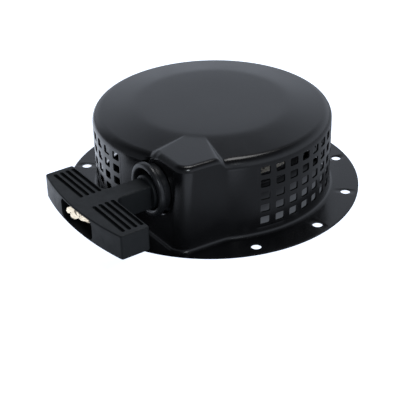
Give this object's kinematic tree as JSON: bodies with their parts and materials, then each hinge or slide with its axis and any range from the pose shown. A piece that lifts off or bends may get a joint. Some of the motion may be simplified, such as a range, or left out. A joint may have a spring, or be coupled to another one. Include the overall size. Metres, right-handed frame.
{
  "type": "recoil starter",
  "caption": "Engine recoil starter: perforated black steel drum with a bolt flange, rope guide in a square corner, T handle, and rope reel with pawls inside.",
  "frame": {"origin": "in the plane of the flange's underside that bolts to the engine, at the middle of the footprint with the handle at rest; the drum's axis, which is the crankshaft's, is parallel to Z at x 0, y 0.0185", "axes": "+Z along the drum's axis, away from the engine; -Y is the direction in which the rope is pulled; +X completes the right-handed frame"},
  "size_m": [0.245, 0.2818, 0.074],
  "materials": {
    "housing_paint": "semi-gloss black coating on pressed steel",
    "guide_plastic": "smooth moulded black plastic",
    "grip_plastic": "fine-textured moulded black plastic",
    "reel_nylon": "moulded black nylon",
    "zinc_steel": "zinc-plated steel",
    "spring_steel": "oiled blue-grey spring steel",
    "hardened_steel": "hardened and tumbled steel",
    "bearing_bronze": "sintered bronze",
    "rope": "braided polyester cord"
  },
  "bodies": {
    "housing": {"housing": "housing_paint", "post_plate": "zinc_steel", "center_post": "zinc_steel", "thrust_washer": "zinc_steel", "center_screw": "zinc_steel", "rope_guide": "guide_plastic", "rope_guide_retainer": "spring_steel", "rope_lead_in": "rope", "rewind_spring": "spring_steel"},
    "handle": {"handle_grip": "grip_plastic", "rope_lead_out": "rope", "handle_knot": "rope"},
    "reel": {"reel": "reel_nylon", "reel_bush": "bearing_bronze", "spring_cup": "zinc_steel", "rope_coil": "rope", "reel_knot": "rope", "pawl_pin_1": "zinc_steel", "pawl_pin_2": "zinc_steel", "pawl_clip_1": "spring_steel", "pawl_clip_2": "spring_steel", "pawl_spring_1": "spring_steel", "pawl_spring_2": "spring_steel"},
    "ratchet_guide": {"friction_plate": "zinc_steel", "friction_spring": "spring_steel"},
    "pawl_1": {"pawl_1": "hardened_steel"},
    "pawl_2": {"pawl_2": "hardened_steel"}
  },
  "joints": [
    {"name": "handle_pull", "type": "slide", "parent": "housing", "child": "handle", "axis": [0, -1, 0], "range_m": [0, 0.6]},
    {"name": "reel_spin", "type": "hinge", "parent": "housing", "child": "reel", "pos_m": [0, 0.0185, 0.043], "axis": [0, 0, 1], "range_deg": [-505, 0], "deforming": ["rewind_spring", "rope_coil"]},
    {"name": "guide_turn", "type": "hinge", "parent": "reel", "child": "ratchet_guide", "pos_m": [0, 0.0185, 0.0184], "axis": [0, 0, 1], "range_deg": [0, 30]},
    {"name": "pawl_1_swing", "type": "hinge", "parent": "reel", "child": "pawl_1", "pos_m": [0.024, 0.0185, 0.0242], "axis": [0, 0, 1], "range_deg": [0, 25.1]},
    {"name": "pawl_2_swing", "type": "hinge", "parent": "reel", "child": "pawl_2", "pos_m": [-0.024, 0.0185, 0.0242], "axis": [0, 0, 1], "range_deg": [0, 25.1]}
  ],
  "couplings": [
    {"joint": "reel_spin", "follows": "handle_pull", "rad_per_m": -14.577},
    {"joint": "pawl_1_swing", "follows": "guide_turn", "ratio": 0.83333},
    {"joint": "pawl_2_swing", "follows": "guide_turn", "ratio": 0.83333}
  ]
}
